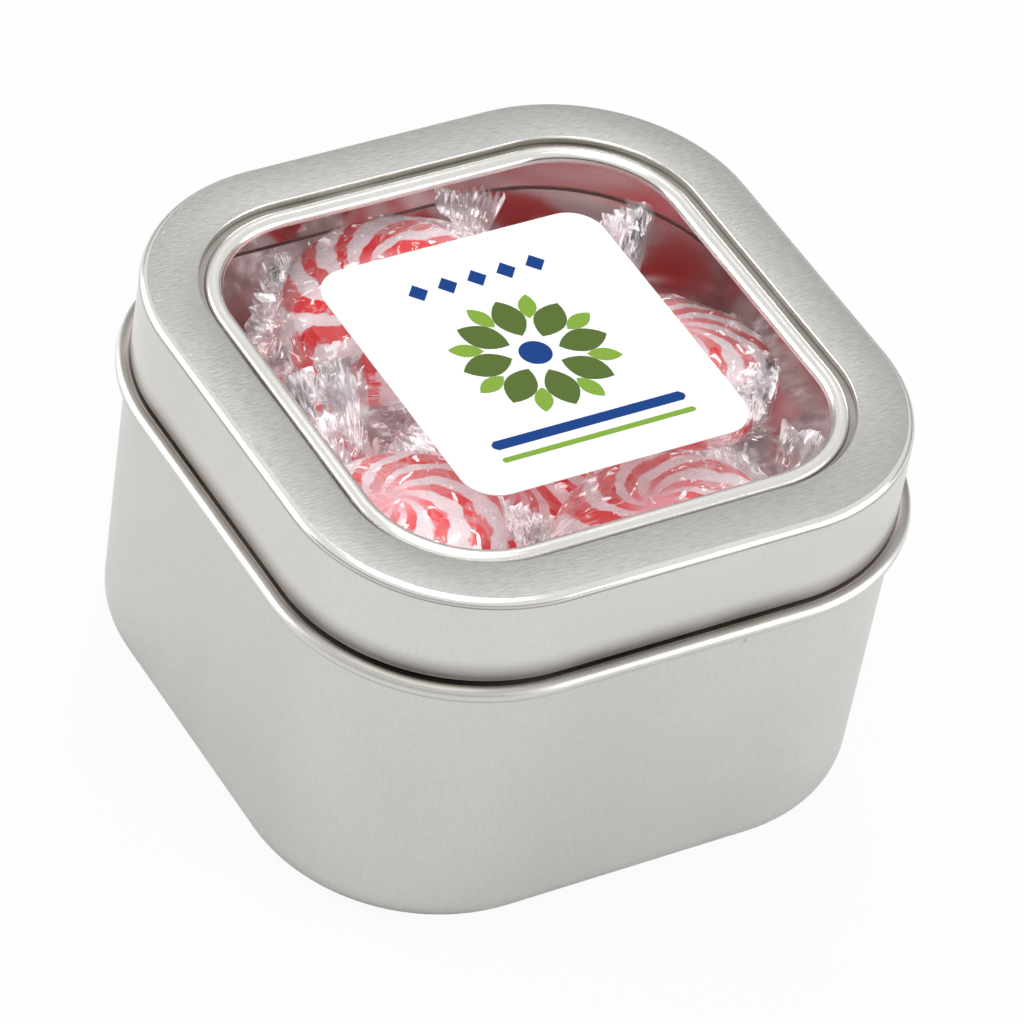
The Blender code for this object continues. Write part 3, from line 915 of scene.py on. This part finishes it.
# Label. A white paper sticker with round corners, stuck on the window a little
# off the middle. Its print is a plain ornament: a star of leaves round a blue
# dot, with a row of diamonds over it and two straight bars under it.
label_width = 37.4 * MM
label_length = 41.0 * MM
label_radius = 4.3 * MM
label_shift_x = 0.8 * MM
label_shift_y = -0.4 * MM
label_low, label_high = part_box("window_label")
paper_base = label_low[2]
paper_top = label_high[2]
ink_lift = 0.02 * MM

bpy.ops.object.select_all(action="DESELECT")
bpy.ops.mesh.primitive_cube_add(size=1, location=(label_shift_x, label_shift_y,
                                                  (paper_base + paper_top) / 2))
label = bpy.context.active_object
label.name = "paper_label"
label.scale = (label_width, label_length, paper_top - paper_base)
bpy.ops.object.transform_apply(location=True, rotation=True, scale=True)
bpy.ops.object.mode_set(mode="EDIT")
bpy.ops.mesh.select_all(action="DESELECT")
bpy.ops.mesh.select_mode(type="EDGE")
bpy.ops.object.mode_set(mode="OBJECT")
for edge in label.data.edges:
    first, second = (label.data.vertices[corner].co for corner in edge.vertices)
    edge.select = abs(first.z - second.z) > 0.5 * (paper_top - paper_base)
bpy.ops.object.mode_set(mode="EDIT")
bpy.ops.mesh.bevel(offset=label_radius, segments=sheet_corner_cuts, affect="EDGES")
bpy.ops.object.mode_set(mode="OBJECT")
bpy.ops.object.shade_smooth_by_angle(angle=math.radians(30))
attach(label, "lid")
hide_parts("window_label")


def printed(name, colour, roughness):
    """Coated paper or the ink on it: flat colour with a faint tooth."""
    material, tree, shader = new_material(name)
    tooth = cloudy(tree, own_place(tree), 2500.0)
    darker = [part * 0.975 for part in colour]
    set_inputs(tree, shader, {
        "Base Color": ramp_colour(tree, tooth, (0.35, darker), (0.65, colour)),
        "Roughness": roughness,
        "Specular IOR Level": 0.15,
        "Normal": relief(tree, tooth, 0.08, 0.00003)})
    return material


label.data.materials.append(printed("coated_paper", (0.93, 0.93, 0.925), 0.5))


def print_shapes(name, shapes, colour):
    """Ink shapes, each a ring of points on the label, as one thin printed layer."""
    bpy.ops.object.select_all(action="DESELECT")
    height = paper_top + ink_lift
    for count, shape in enumerate(shapes):
        bpy.ops.mesh.primitive_circle_add(vertices=len(shape), radius=label_radius,
                                          fill_type="NGON", location=(0, 0, height))
        outline = bpy.context.active_object
        outline.name = "{}_{}".format(name, count)
        for corner, place in zip(outline.data.vertices, shape):
            corner.co = (place[0] + label_shift_x, place[1] + label_shift_y, 0.0)
    bpy.ops.object.select_all(action="DESELECT")
    parts = [item for item in bpy.data.objects if item.name.startswith(name + "_")]
    for part in parts:
        part.select_set(True)
    bpy.context.view_layer.objects.active = parts[0]
    bpy.ops.object.join()
    ink = bpy.context.active_object
    ink.name = name
    bpy.ops.object.transform_apply(location=True, rotation=True, scale=True)
    bpy.ops.object.mode_set(mode="EDIT")
    bpy.ops.mesh.select_all(action="SELECT")
    bpy.ops.mesh.extrude_region_move(TRANSFORM_OT_translate={"value": (0, 0, -ink_lift)})
    bpy.ops.mesh.select_all(action="SELECT")
    bpy.ops.mesh.normals_make_consistent(inside=False)
    bpy.ops.object.mode_set(mode="OBJECT")
    ink.data.materials.append(printed(name, colour, 0.55))
    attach(ink, "lid")
    return ink


def leaf(stalk_at, heading, length, width):
    """Pointed leaf of the star, its stalk end at a distance from the middle."""
    turn = math.radians(heading)
    ring = []
    for side in (1, -1):
        for step in range(leaf_steps):
            share = step / leaf_steps if side == 1 else 1 - step / leaf_steps
            along = share * length
            out = side * width / 2 * math.sin(math.pi * share) ** 0.8
            ring.append((stalk_at * math.cos(turn) + along * math.cos(turn) - out * math.sin(turn),
                         star_y + stalk_at * math.sin(turn) + along * math.sin(turn)
                         + out * math.cos(turn)))
    return ring


def bar(centre_y, height):
    """Straight bar across the label, with cut corners."""
    half = label_width / 2 - bar_margin
    cut = height / 3
    ring = []
    for side_x, side_y in ((1, 1), (-1, 1), (-1, -1), (1, -1)):
        tip = (side_x * half, centre_y + side_y * (height / 2 - cut))
        foot = (side_x * (half - cut), centre_y + side_y * height / 2)
        ring += [tip, foot] if side_x == side_y else [foot, tip]
    return ring


star_y = -0.4 * MM
star_leaves = 8
leaf_turn = 360 / star_leaves
leaf_steps = 10
dark_stalk, dark_length, dark_width = 3.1 * MM, 6.4 * MM, 3.9 * MM
light_stalk, light_length, light_width = 6.0 * MM, 4.2 * MM, 2.2 * MM
dot_radius = 2.0 * MM
dot_corners = 24
diamond_half_width, diamond_half_height = 1.3 * MM, 1.5 * MM
diamond_spacing, diamond_y = 3.9 * MM, 13.6 * MM
bar_margin = 6.0 * MM
bold_bar_y, bold_bar_height = -12.9 * MM, 1.5 * MM
thin_bar_y, thin_bar_height = -15.4 * MM, 0.8 * MM
dark_leaves = [leaf(dark_stalk, leaf_turn * step, dark_length, dark_width)
               for step in range(star_leaves)]
light_leaves = [leaf(light_stalk, leaf_turn * (step + 0.5), light_length, light_width)
                for step in range(star_leaves)]
dot = [(dot_radius * math.cos(2 * math.pi * step / dot_corners),
        star_y + dot_radius * math.sin(2 * math.pi * step / dot_corners))
       for step in range(dot_corners)]
diamonds = [[(x + diamond_half_width, diamond_y), (x, diamond_y + diamond_half_height),
             (x - diamond_half_width, diamond_y), (x, diamond_y - diamond_half_height)]
            for x in (diamond_spacing * step for step in range(-2, 3))]
thin_bars = [bar(thin_bar_y, thin_bar_height)]
print_shapes("ink_dark_green", dark_leaves, (0.085, 0.14, 0.025))
print_shapes("ink_light_green", light_leaves + thin_bars, (0.21, 0.375, 0.042))
print_shapes("ink_blue", [dot, bar(bold_bar_y, bold_bar_height)] + diamonds,
             (0.0, 0.042, 0.215))

# Studio. A pale floor, soft lamps over and beside the tin, and the camera at
# the photograph's angle. The floor and the sky look white to the camera. Metal
# and film mirror a white room with a darker band low down on its walls.
bpy.ops.object.select_all(action="DESELECT")
floor_side = 6.0
bpy.ops.mesh.primitive_plane_add(size=floor_side, location=(0, 0, -0.02 * MM))
floor = bpy.context.active_object
floor.name = "studio_floor"
floor_paint, tree, shader = new_material("studio_floor")
set_inputs(tree, shader, {"Base Color": (0.69, 0.69, 0.69, 1), "Roughness": 0.9,
                          "Specular IOR Level": 0.0})
camera_ray = add_node(tree, "LightPath", {}).outputs["Is Camera Ray"]
glow = add_node(tree, "Emission", {"Strength": 1.0})
blend = add_node(tree, "MixShader", {"Fac": maths(tree, "MULTIPLY", camera_ray, 0.93),
                                     1: shader.outputs[0], 2: glow.outputs[0]})
set_inputs(tree, tree.nodes["Material Output"], {"Surface": blend.outputs[0]})
floor.data.materials.append(floor_paint)

# The room is 0.60 as light, 1.0 as the camera sees it and 0.87 in mirrored rays,
# which also meet a darker band at a low height.
room_light = 0.60
band_height = 0.16
sky = bpy.data.worlds.new("studio_sky")
bpy.context.scene.world = sky
sky.use_nodes = True
tree = sky.node_tree
path = add_node(tree, "LightPath", {}).outputs
seen = maths(tree, "MAXIMUM", path["Is Camera Ray"], path["Is Transmission Ray"])
seen = maths(tree, "MULTIPLY", seen, 1.0 - room_light)
heading = add_node(tree, "TexCoord", {}).outputs["Generated"]
heading_height = add_node(tree, "SeparateXYZ", {"Vector": heading}).outputs["Z"]
off_band = maths(tree, "ABSOLUTE", maths(tree, "SUBTRACT", heading_height, band_height))
room = ranged(tree, off_band, 0.06, 0.15, -0.35, 0.27, kind="SMOOTHSTEP")
mirrored = maths(tree, "MULTIPLY", path["Is Glossy Ray"], room)
strength = maths(tree, "ADD", maths(tree, "ADD", seen, mirrored), room_light)
set_inputs(tree, tree.nodes["Background"], {"Strength": strength, "Color": (1, 1, 1, 1)})


def soft_lamp(name, azimuth, elevation, distance, size, power):
    """Square softbox that faces the middle of the tin."""
    turn = math.radians(azimuth)
    rise = math.radians(elevation)
    away = Vector((math.sin(turn) * math.cos(rise), -math.cos(turn) * math.cos(rise),
                   math.sin(rise)))
    bpy.ops.object.light_add(type="AREA", location=away * distance + Vector((0, 0, lamp_aim)))
    lamp = bpy.context.active_object
    lamp.name = name
    lamp.rotation_euler = away.to_track_quat("Z", "Y").to_euler()
    lamp.data.shape = "SQUARE"
    lamp.data.size = size
    lamp.data.energy = power
    return lamp


# Name, azimuth and elevation in degrees, distance and side in metres, power in watts.
lamp_aim = 30 * MM
soft_lamp("lamp_over", -60, 78, 0.9, 0.7, 2.2)
soft_lamp("lamp_left", -138, 9, 0.7, 0.5, 4.0)
soft_lamp("lamp_right", 48, 9, 0.7, 0.5, 4.0)
soft_lamp("lamp_glint", 150, 62, 0.8, 0.12, 1.0)

camera_data = bpy.data.cameras.new("photo_camera")
camera = bpy.data.objects.new("photo_camera", camera_data)
bpy.context.scene.collection.objects.link(camera)
# Camera fitted to the photograph: its angles, its distance and its shift off the tin's middle.
camera_distance = 817.92 * MM
camera_right = 5.007 * MM
camera_up = 18.716 * MM
camera_data.sensor_width = 36.0
camera_data.lens = 240.297
camera_data.clip_start = 0.05
camera_data.clip_end = 20.0
azimuth = math.radians(-35.987)
elevation = math.radians(41.641)
roll = math.radians(10.078)
back = Vector((math.sin(azimuth) * math.cos(elevation), -math.cos(azimuth) * math.cos(elevation),
               math.sin(elevation)))
level = (-back).cross(Vector((0, 0, 1))).normalized()
upright = level.cross(-back)
across = math.cos(roll) * level + math.sin(roll) * upright
upward = -math.sin(roll) * level + math.cos(roll) * upright
spot = back * camera_distance + across * camera_right + upward * camera_up
facing = Matrix((across, upward, back)).transposed().to_4x4()
camera.matrix_world = Matrix.Translation(spot) @ facing
bpy.context.scene.camera = camera
bpy.context.scene.view_settings.view_transform = "Standard"
